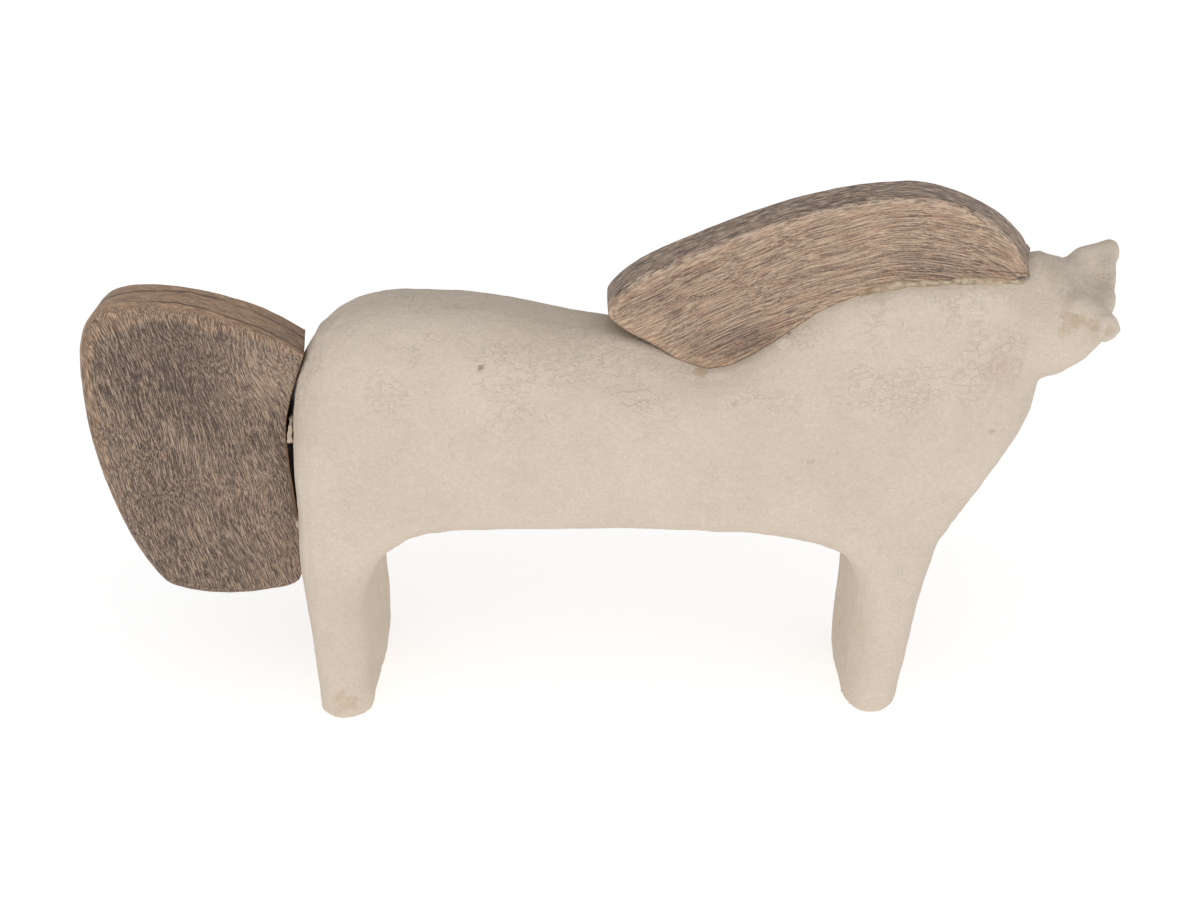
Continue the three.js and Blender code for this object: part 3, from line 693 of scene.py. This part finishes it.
def maneFibre(p):
    # the fibres rise, bend over to level and then down: across = z - integral of the slope along x
    x, y, z = p.T
    run = np.linspace(-10, 170, 400)
    slope = 0.50 * (1 - ramp(40, 122, run)) - 0.75 * ramp(112, 156, run)
    across = z - np.interp(x, run, np.cumsum(slope) * (run[1] - run[0])) + 0.4 * waves(p, 40, 85)
    return np.stack([x + 0.3 * z, across, y + 0.5 * waves(p * (1, 0.4, 1), 34, 86)], 1)


def maneShade(p):
    # greyer along the seat over the withers and towards the front, lighter under the tip
    return softPatches(p, woodMane["patches"])


def maneRim(p):
    return 3.7 + 0.3 * waves(p, 12, 87)


def makeMane():
    def at(share, height):
        return woodMane["tip"] + woodMane["length"] * share, woodMane["dip"] + woodMane["rise"] * height

    def seat(x, y):
        return topAt(x, y) + woodMane["gap"] * mm

    def turned(x, y):
        return x + woodMane["turn"] * ramp(*woodMane["turnOver"], x) * y

    front, rear = woodMane["front"], woodMane["seatFrom"]
    seatX = np.linspace(front, rear, 110) * mm
    seatLine = np.stack([seatX, seat(seatX, 0 * seatX)], 1)
    join = seatLine[-1] / mm
    under = bezier(join, (13.5, 151.8), (2.0, 158.4), (0.6, 161.4))
    over = through(
        (0.6, 161.4), (0.5, 165.2), (3.5, 169.4), (9.2, 174.4), (17.5, 179.3), (31.8, 185.7), (47.3, 192.2),
        (62.6, 197.7), (76, 201.5), (91.3, 204.7), (107.5, 205.8),
    )
    nose = bezier((107.5, 205.8), at(0.812, 1.0), at(0.985, 0.872), at(1.035, 0.566), count=80)
    path = np.concatenate([under, over[1:], nose[1:], seatLine[1:-1]])
    outline = evenly(path, woodMane["columns"])
    x, z = outline.T
    seated = 1 - ramp(0.3 * mm, 2.0 * mm, z - seat(x, 0 * x))
    seated *= ramp(-10 * mm, 2 * mm, x - rear * mm)
    keen = np.maximum(seated, 0.6 * ramp(front * mm - 8 * mm, front * mm, x))
    keen = np.maximum(keen, 0.6 * (1 - ramp(156 * mm, 166 * mm, z)))
    centre = np.array(woodMane["centre"]) * mm
    rings, rim = plateRings(woodMane, outline, keen, centre)
    # the plate turns a little with the head, and its seat follows the crest across
    share = norm(rings[:, :, [0, 2]] - centre, axis=2) / norm(outline - centre, axis=1)
    x, y, z = np.moveaxis(rings, 2, 0)
    placed = turned(x, y)
    drop = seat(placed, y) - seat(x, 0 * x)
    tilt = np.where(y < 0, *woodMane["tilt"]) * y
    drop = drop + (tilt - drop) * ramp(*woodMane["tiltOver"], x)
    z += drop * seated * np.clip(share, 0, 1) ** 4
    x[:] = placed
    return finishPlate("wood_mane", rings, rim, outline, "mane", maneFibre, maneShade, maneRim)


mane = makeMane()
print("mane made:", len(mane.data.polygons), "faces")

# Glue along the mane's seat

glueBead = {
    "from": 89.5, "to": 148.0, "rings": 150, "sides": 24,
    "height": 1.45,  # up the wood from the crest
    "depth": 0.7,  # out from the wood
    "face": -12.55,
    "lift": 0.7,  # from the crest up to the middle of the bead
    "lump": (0.14, 0.12),  # where it is thick: place and reach as shares of its length
    "waist": (0.45, 0.10),  # and where thin
    "darkAt": 93, "darkReach": 5,
}


def makeGlue():
    # an oval along the foot of the wood: depth * cos outwards, height * sin up
    share = np.linspace(0, 1, glueBead["rings"])
    x = (glueBead["from"] + (glueBead["to"] - glueBead["from"]) * share) * mm
    y = np.full(len(x), glueBead["face"] * mm)
    line = np.stack([x, y, topAt(x, y) + glueBead["lift"] * mm], 1)
    wave = waves(line, 9 * mm, 93)
    ends = np.sqrt(np.clip(1 - (2 * share - 1) ** 8, 0.0025, 1))
    shapes = glueBead["lump"], glueBead["waist"]
    lump, waist = (np.exp(-(((share - at) / reach) ** 2)) for at, reach in shapes)
    thick = 1 + 0.30 * wave + 0.16 * waves(line, 3.5 * mm, 94) + 0.35 * lump - 0.30 * waist
    height = glueBead["height"] * mm * thick * ends
    depth = glueBead["depth"] * mm * (1 + 0.25 * wave) * ends
    around = np.linspace(0, 2 * np.pi, glueBead["sides"], endpoint=False)[:, None]
    outward = np.array([0.0, -1.0, 0.0])
    upward = np.cross(np.gradient(line, axis=0), outward)
    upward /= norm(upward, axis=1, keepdims=True) * np.sign(upward[:, 2:])
    rings = (
        line[:, None]
        + depth[:, None, None] * np.cos(around) * outward
        + height[:, None, None] * np.sin(around) * upward[:, None]
    )
    mesh = tube("glue_bead", rings)
    points = vertexArray(mesh)
    points += normalArray(mesh) * (0.10 * mm * waves(points, 3.0 * mm, 91))[:, None]
    setVertices(mesh, points)
    dark = 1 - np.abs(points[:, 0] / mm - glueBead["darkAt"]) / glueBead["darkReach"]
    giveAttribute(mesh, "dark", np.clip(dark, 0, 1))
    piece = addObject("glue_bead", mesh)
    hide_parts("mane_glue")
    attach(piece, "root")
    return piece


bead = makeGlue()


pulpPad = {
    "voxel": 0.5 * mm, "smoothing": 3, "lump": 0.25 * mm, "lumpSize": 4 * mm,
    "tint": (198, 179, 158),  # a little darker than the body, by the strength
    "strength": 0.6,
}


def makePad(node, seed):
    # the pressed-out pulp of one pin: the CAD pad, relaxed and made lumpy
    mesh = denseCopy(node, pulpPad["voxel"])
    points = relaxed(mesh, vertexArray(mesh), pulpPad["smoothing"])
    setVertices(mesh, points)
    normals = normalArray(mesh)
    low, high = np.array(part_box(node))
    points += normals * (pulpPad["lump"] * (waves(points, pulpPad["lumpSize"], seed) - 1))[:, None]
    setVertices(mesh, np.clip(points, low, high))
    tint = np.tile([*screenColour(*pulpPad["tint"]), pulpPad["strength"]], (len(points), 1))
    giveAttribute(mesh, "tint", tint)
    giveAttribute(mesh, "crack", np.zeros((len(points), 3)))
    piece = addObject("lump_" + node, mesh)
    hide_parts(node)
    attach(piece, "root")
    return piece


pads = [makePad("tail_pad_lower", 95), makePad("tail_pad_upper", 96)]
print("glue and pads made")

# Materials


def addNode(tree, kind, inputs, **settings):
    # a new shader node; each input takes a plain value or another node's output
    made = tree.nodes.new("ShaderNode" + kind)
    for key, value in settings.items():
        setattr(made, key, value)
    for key, value in inputs.items():
        if isinstance(value, bpy.types.NodeSocket):
            tree.links.new(value, made.inputs[key])
        else:
            made.inputs[key].default_value = value
    return made


def calc(tree, operation, *values):
    return addNode(tree, "Math", dict(enumerate(values)), operation=operation).outputs[0]


def times(tree, one, two, plus=0.0):
    return calc(tree, "MULTIPLY_ADD", one, two, plus)


def blend(tree, factor, one, two, mode="MIX"):
    # one at factor 0, two at factor 1
    made = addNode(tree, "Mix", {0: factor, 6: one, 7: two}, data_type="RGBA", blend_type=mode)
    return made.outputs[2]


def span(tree, value, low, high, to=(0.0, 1.0)):
    # low to high, taken smoothly to another stretch
    inputs = {"Value": value, "From Min": low, "From Max": high, "To Min": to[0], "To Max": to[1]}
    return addNode(tree, "MapRange", inputs, interpolation_type="SMOOTHSTEP").outputs[0]


def noise(tree, vector, scale, place, detail, roughness):
    # noise with features about 1 / scale millimetres long on each axis
    moved = addNode(tree, "Mapping", {"Vector": vector, "Scale": scale, "Location": place})
    inputs = {"Vector": moved.outputs[0], "Scale": 1.0, "Detail": detail, "Roughness": roughness}
    return addNode(tree, "TexNoise", inputs).outputs[0]


def around(tree, value, weight, total):
    # total + weight * (value - 0.5)
    return times(tree, calc(tree, "SUBTRACT", value, 0.5), weight, total)


def inverse(tree, value):
    return calc(tree, "SUBTRACT", 1.0, value)


def screen(*colour):
    return (*screenColour(*colour), 1)


def newGroup(name, entry):
    # a node group into which one vector goes
    group = bpy.data.node_groups.new(name, "ShaderNodeTree")
    group.interface.new_socket(entry, in_out="INPUT", socket_type="NodeSocketVector")
    return group, group.nodes.new("NodeGroupInput").outputs[0]


def closeGroup(group, values):
    # each value goes out under its name
    for name in values:
        group.interface.new_socket(name, in_out="OUTPUT", socket_type="NodeSocketFloat")
    leave = group.nodes.new("NodeGroupOutput").inputs
    for name, value in values.items():
        group.links.new(value, leave[name])
    return group


def newMaterial(name, roughness, specular=0.5):
    material = bpy.data.materials.new(name)
    material.use_nodes = True
    shader = material.node_tree.nodes["Principled BSDF"]
    shader.inputs["Roughness"].default_value = roughness
    shader.inputs["Specular IOR Level"].default_value = specular
    return material, material.node_tree, shader


def objectPlace(tree):
    # the place on the object, in millimetres
    place = addNode(tree, "TexCoord", {}).outputs["Object"]
    return addNode(tree, "Mapping", {"Vector": place, "Scale": (1000, 1000, 1000)}).outputs[0]


def useGroup(tree, group, vector):
    return addNode(tree, "Group", {0: vector}, node_tree=group).outputs


def laid(tree, colour, mask, look, name, mode="MIX"):
    # the look's colour of that name, laid over by mask * share
    share = times(tree, mask, look[name])
    return blend(tree, share, colour, screen(*look[name + "Colour"]), mode)


def attribute(tree, name, output="Fac"):
    return addNode(tree, "Attribute", {}, attribute_name=name).outputs[output]


def addRelief(tree, shader, height, strength=1.0):
    # a height of 1 stands for a millimetre
    bump = addNode(tree, "Bump", {"Height": height, "Distance": mm, "Strength": strength})
    tree.links.new(bump.outputs[0], shader.inputs["Normal"])


# Noises of the pulp: scale on each axis per millimetre, place, detail and roughness
paperNoises = {
    "fine": ((1.3, 1.3, 1.3), (0, 0, 0), 3, 0.65),
    "tooth": ((0.45, 0.45, 0.45), (7, 3, 1), 2, 0.5),
    "cloud": ((0.045, 0.045, 0.045), (3, 9, 4), 3, 0.5),
    "warm": ((0.06, 0.06, 0.06), (31, 2, 8), 4, 0.6),
    "bent": ((0.20, 0.20, 0.34), (11, 6, 2), 3, 0.6),
    "patches": ((0.05, 0.05, 0.05), (2, 17, 5), 2, 0.5),
    "crumbs": ((0.60, 0.60, 0.80), (5, 5, 1), 3, 0.6),
}


def paperGroup():
    # fine grain, soft clouds, warm blotches, small dark specks and shallow creases
    group, place = newGroup("paperGrain", "Place")
    made = {name: noise(group, place, *row) for name, row in paperNoises.items()}
    tone = around(group, made["fine"], 0.36, 1.0)
    tone = around(group, made["tooth"], 0.10, tone)
    tone = around(group, made["cloud"], 0.16, tone)
    # specks: some of the cells of a pattern have a dot in their middle
    dots = addNode(group, "Mapping", {"Vector": place, "Scale": (0.30, 0.30, 0.30)}).outputs[0]
    cells = addNode(group, "TexVoronoi", {"Vector": dots, "Scale": 1.0})
    chosen = addNode(group, "SeparateColor", {"Color": cells.outputs["Color"]}).outputs[0]
    dot = inverse(group, span(group, cells.outputs["Distance"], 0.04, 0.13))
    # creases run where a noise crosses its middle, in patches on the upper part; the pulp paints shade along
    # them
    apart = calc(group, "ABSOLUTE", calc(group, "SUBTRACT", made["bent"], 0.5))
    above = addNode(group, "SeparateXYZ", {"Vector": place}).outputs["Z"]
    patches = times(group, span(group, made["patches"], 0.46, 0.60), span(group, above, 112, 136))
    crease = times(group, inverse(group, span(group, apart, 0.0, 0.03)), patches)
    height = times(group, made["tooth"], 0.12, times(group, made["fine"], 0.14))
    height = times(group, span(group, made["crumbs"], 0.45, 0.75), 0.16, height)
    leaving = {
        "Tone": tone,
        "Warm": span(group, made["warm"], 0.5, 0.72),
        "Speck": times(group, span(group, chosen, 0.80, 0.86), dot),
        "Crease": crease,
        "Height": times(group, crease, -0.16, height),
    }
    return closeGroup(group, leaving)


# Noises of the wood: scale along, across and through the fibres, place, detail and roughness
woodNoises = {
    "Broad": ((0.015, 0.06, 0.03), (5, 1, 2), 3, 0.55),
    "Streak": ((0.028, 0.55, 0.35), (1, 8, 3), 4, 0.65),
    "Dash": ((0.24, 2.5, 2.2), (4, 4, 9), 1, 0.5),
    "Line": ((0.05, 3.0, 2.6), (3, 6, 2), 2, 0.6),
    "Fine": ((0.9, 4.2, 3.6), (14, 2, 6), 1, 0.5),
    "Patch": ((0.11, 0.4, 0.35), (8, 5, 1), 3, 0.6),
}
woodSpans = {"Dash": (0.42, 0.66), "Line": (0.34, 0.66), "Fine": (0.28, 0.72)}  # taken from 0 to 1


def woodGroup():
    # noises along the fibres: broad tones, streaks, and short dashes for pores
    group, place = newGroup("woodGrain", "Grain")
    made = {name: noise(group, place, *row) for name, row in woodNoises.items()}
    height = times(group, made["Fine"], 0.05, times(group, made["Dash"], 0.14))
    for name, limits in woodSpans.items():
        made[name] = span(group, made[name], *limits)
    return closeGroup(group, {**made, "Height": height})


def ringGroup():
    # dark lines of the growth rings along the sawn edge, wandering through its width:
    # they run where sin(turns * (place across + wide and narrow noise)) is near 1
    group, place = newGroup("ringLines", "Edge")
    across = addNode(group, "SeparateXYZ", {"Vector": place}).outputs["Y"]
    wide = noise(group, place, (0.018, 0.03, 0.03), (2, 7, 7), 2, 0.5)
    narrow = noise(group, place, (0.09, 0.10, 0.1), (6, 1, 4), 3, 0.5)
    depth = times(group, wide, 16.0, times(group, narrow, 5.0, across))
    wave = calc(group, "SINE", times(group, depth, 0.62))
    broken = span(group, noise(group, place, (0.05, 0.3, 0.3), (9, 3, 1), 2, 0.5), 0.30, 0.48)
    return closeGroup(group, {"Line": times(group, span(group, wave, 0.84, 0.98), broken)})


paperGrain = paperGroup()
woodGrain = woodGroup()
ringLines = ringGroup()


# crease and crack colours are painted shade in the creases and cracks
pulpLook = {
    "plain": (215, 201, 185), "warm": 0.28, "warmColour": (206, 188, 168), "speck": 0.35,
    "speckColour": (160, 140, 118), "crease": 0.07, "creaseColour": (160, 142, 122), "crack": 0.7,
    "crackColour": (132, 114, 96),
    "crackSpan": (0.08, 0.42),  # half widths in millimetres, where it is full and where it ends
    "crackDepth": -0.25,
}


def makePulp():
    material, tree, shader = newMaterial("pulp", 0.92, 0.25)
    look = pulpLook
    paper = useGroup(tree, paperGrain, objectPlace(tree))
    colour = laid(tree, screen(*look["plain"]), paper["Warm"], look, "warm")
    tint = addNode(tree, "Attribute", {}, attribute_name="tint").outputs
    colour = blend(tree, tint["Alpha"], colour, tint["Color"])
    # the crack's distance wanders with the grain; the crack line is painted shade over a shallow groove
    parts = addNode(tree, "SeparateXYZ", {"Vector": attribute(tree, "crack", "Vector")}).outputs
    apart = calc(tree, "ADD", parts["X"], times(tree, paper["Height"], 2.0, -0.40))
    line = inverse(tree, span(tree, calc(tree, "ABSOLUTE", apart), *look["crackSpan"]))
    line = times(tree, line, parts["Y"])
    # specks, and painted shade along the creases and cracks, are laid over the colour
    for name, mask in {"speck": paper["Speck"], "crease": paper["Crease"], "crack": line}.items():
        colour = laid(tree, colour, mask, look, name)
    tone = addNode(tree, "CombineColor", dict.fromkeys(range(3), paper["Tone"])).outputs[0]
    tree.links.new(blend(tree, 1.0, colour, tone, "MULTIPLY"), shader.inputs["Base Color"])
    addRelief(tree, shader, times(tree, line, look["crackDepth"], paper["Height"]), 0.8)
    return material


def makeWood(name, look):
    # the light colour's share is a middle plus each noise by its weight, on face, sawn edge and
    # worn rim; ring lines, the painted shade of the narrow gap, and blush are laid over them
    material, tree, shader = newMaterial(name, 0.66, 0.3)
    edge = attribute(tree, "edge", "Vector")
    turned, inward, shade = (attribute(tree, label) for label in ("turned", "rim", "shade"))
    wood = useGroup(tree, woodGrain, attribute(tree, "grain", "Vector"))
    band = useGroup(tree, woodGrain, edge)

    def mixed(share, noises, weights, dark, light):
        for label, weight in weights.items():
            share = around(tree, noises[label], weight, share)
        share = addNode(tree, "Clamp", {"Value": share}).outputs[0]
        return blend(tree, share, screen(*look[dark]), screen(*look[light]))

    face = mixed(calc(tree, "ADD", shade, look["middle"]), wood, look["face"], "dark", "light")
    begins = inverse(tree, span(tree, turned, 0.25, 0.75))
    share = times(tree, shade, look["edgeShade"], 0.5)
    share = times(tree, begins, look["edgeLit"], share)
    side = mixed(share, band, look["edge"], "edgeDark", "edgeLight")
    side = laid(tree, side, useGroup(tree, ringLines, edge)["Line"], look, "ring")
    worn = mixed(0.5, wood, {"Streak": 0.6, "Line": 0.3, "Dash": 0.7}, "rimDark", "rimLight")
    near = times(tree, inverse(tree, span(tree, inward, 0.8, 1.1)), look["rim"])
    colour = blend(tree, near, face, worn)
    colour = blend(tree, span(tree, turned, *look["turned"]), colour, side)
    # painted shade: where shade is below -1 the colour turns to the near-black of the narrow gap
    colour = blend(tree, span(tree, shade, -1.0, -2.0), colour, screen(*look["gap"]))
    colour = laid(tree, colour, span(tree, wood["Patch"], 0.45, 0.70), look, "blush", "MULTIPLY")
    tree.links.new(colour, shader.inputs["Base Color"])
    addRelief(tree, shader, wood["Height"])
    return material


def makePlain(name, colour, roughness):
    material, tree, shader = newMaterial(name, roughness)
    paper = useGroup(tree, paperGrain, objectPlace(tree))
    mixed = blend(tree, paper["Warm"], screen(*colour), screen(*(0.85 * value for value in colour)))
    tree.links.new(mixed, shader.inputs["Base Color"])
    return material


def makeGlueMaterial():
    material, tree, shader = newMaterial("dried_glue", 0.55)
    place = objectPlace(tree)
    paper = useGroup(tree, paperGrain, place)
    mottled = span(tree, noise(tree, place, (0.30, 0.45, 0.45), (3, 1, 4), 3, 0.6), 0.38, 0.62)
    colour = blend(tree, mottled, screen(200, 183, 159), screen(170, 149, 121))
    colour = blend(tree, attribute(tree, "dark"), colour, screen(156, 131, 96))
    tree.links.new(colour, shader.inputs["Base Color"])
    addRelief(tree, shader, paper["Height"])
    return material


# Weights of the noises on the face and on the edge, and colours; rim, ring and blush are shares,
# and edgeLit makes the edge lighter where it begins to turn
# gap is painted shade: the near-black of the narrow gap between the sawn edge and the rump
tailLook = {
    "middle": 0.43, "face": {"Broad": 0.45, "Streak": 0.25, "Line": 0.42, "Dash": 0.62, "Fine": 0.5},
    "dark": (82, 70, 64), "light": (184, 160, 138), "turned": (0.15, 0.6),
    "edge": {"Patch": 1.0, "Streak": 0.8, "Dash": 0.45, "Fine": 0.5}, "edgeShade": -1.5, "edgeLit": 0.0,
    "edgeDark": (112, 91, 76), "edgeLight": (212, 178, 148), "ring": 0.7, "ringColour": (64, 48, 40),
    "rim": 0.85, "rimDark": (100, 82, 70), "rimLight": (200, 170, 143), "gap": (50, 42, 37), "blush": 0.5,
    "blushColour": (250, 238, 234),
}
maneLook = {
    "middle": 0.47, "face": {"Broad": 0.3, "Streak": 0.32, "Line": 0.66, "Dash": 0.16, "Fine": 0.34},
    "dark": (104, 88, 80), "light": (219, 191, 163), "turned": (0.06, 0.3),
    "edge": {"Patch": 1.8, "Streak": 0.7, "Dash": 0.8, "Fine": 0.34}, "edgeShade": 0.3, "edgeLit": 0.38,
    "edgeDark": (84, 72, 65), "edgeLight": (214, 190, 168), "ring": 0.2, "ringColour": (84, 72, 64),
    "rim": 0.75, "rimDark": (150, 126, 108), "rimLight": (226, 198, 168), "gap": (50, 42, 37),
    "blush": 0.8, "blushColour": (250, 234, 230),
}
pulp = makePulp()
pinWood = makePlain("pin_wood", (194, 165, 124), 0.7)
body.data.materials.append(pulp)
mane.data.materials.append(makeWood("mane_wood", maneLook))
tail.data.materials.append(makeWood("tail_wood", tailLook))
bead.data.materials.append(makeGlueMaterial())
for pad in pads:
    pad.data.materials.append(pulp)
for name in ("mane_pin_rear", "mane_pin_front", "tail_pin_lower", "tail_pin_upper"):
    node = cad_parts[name]
    node.data.materials.clear()
    node.data.materials.append(pinWood)
print("materials made")

# Floor, light and background

studio = {
    "worldLevel": 0.853,  # light that comes alike from every side
    "worldFront": 0.56,  # more from the viewer's side
    "worldAbove": -0.35,  # less from above
    "floorSize": 8.0,
    "floorColour": (235, 235, 235),
    "floorGlow": 0.39,  # for the light that it throws up at the figure
    "floorWhite": 0.14,  # added where the camera sees it
    "floorDrop": 0.05 * mm,  # below the soles
    "white": (1, 1, 1, 1),
}


def makeWorld():
    # light = level + front * (towards the viewer) + above * (upwards); straight to the camera it is white
    world = bpy.data.worlds.new("studio")
    bpy.context.scene.world = world
    world.use_nodes = True
    tree = world.node_tree
    tree.nodes.clear()
    place = addNode(tree, "TexCoord", {}).outputs["Generated"]
    slope = (0, -studio["worldFront"], studio["worldAbove"])
    light = addNode(tree, "VectorMath", {0: place, 1: slope}, operation="DOT_PRODUCT").outputs["Value"]
    light = calc(tree, "ADD", light, studio["worldLevel"])
    light = addNode(tree, "Background", {"Color": studio["white"], "Strength": light}).outputs[0]
    white = addNode(tree, "Background", {"Color": studio["white"]}).outputs[0]
    rays = addNode(tree, "LightPath", {}).outputs
    seen = calc(tree, "MAXIMUM", rays["Is Camera Ray"], rays["Is Glossy Ray"])
    seen = calc(tree, "MAXIMUM", seen, rays["Is Transmission Ray"])
    mix = addNode(tree, "MixShader", {0: seen, 1: light, 2: white}).outputs[0]
    addNode(tree, "OutputWorld", {"Surface": mix})


def makeFloor():
    half = studio["floorSize"] / 2
    mesh = bpy.data.meshes.new("floor")
    corners = [(-half, -half, 0), (half, -half, 0), (half, half, 0), (-half, half, 0)]
    mesh.from_pydata(corners, [], [(0, 1, 2, 3)])
    floor = addObject("floor", mesh, smooth=False)
    floor.location.z = -studio["floorDrop"]
    material, tree, shader = newMaterial("floor", 1.0, 0)
    shader.inputs["Base Color"].default_value = screen(*studio["floorColour"])
    shader.inputs["Emission Color"].default_value = studio["white"]
    seen = addNode(tree, "LightPath", {}).outputs["Is Camera Ray"]
    glow = times(tree, seen, studio["floorWhite"], studio["floorGlow"])
    tree.links.new(glow, shader.inputs["Emission Strength"])
    mesh.materials.append(material)


makeWorld()
makeFloor()
bpy.context.scene.view_settings.view_transform = "Standard"
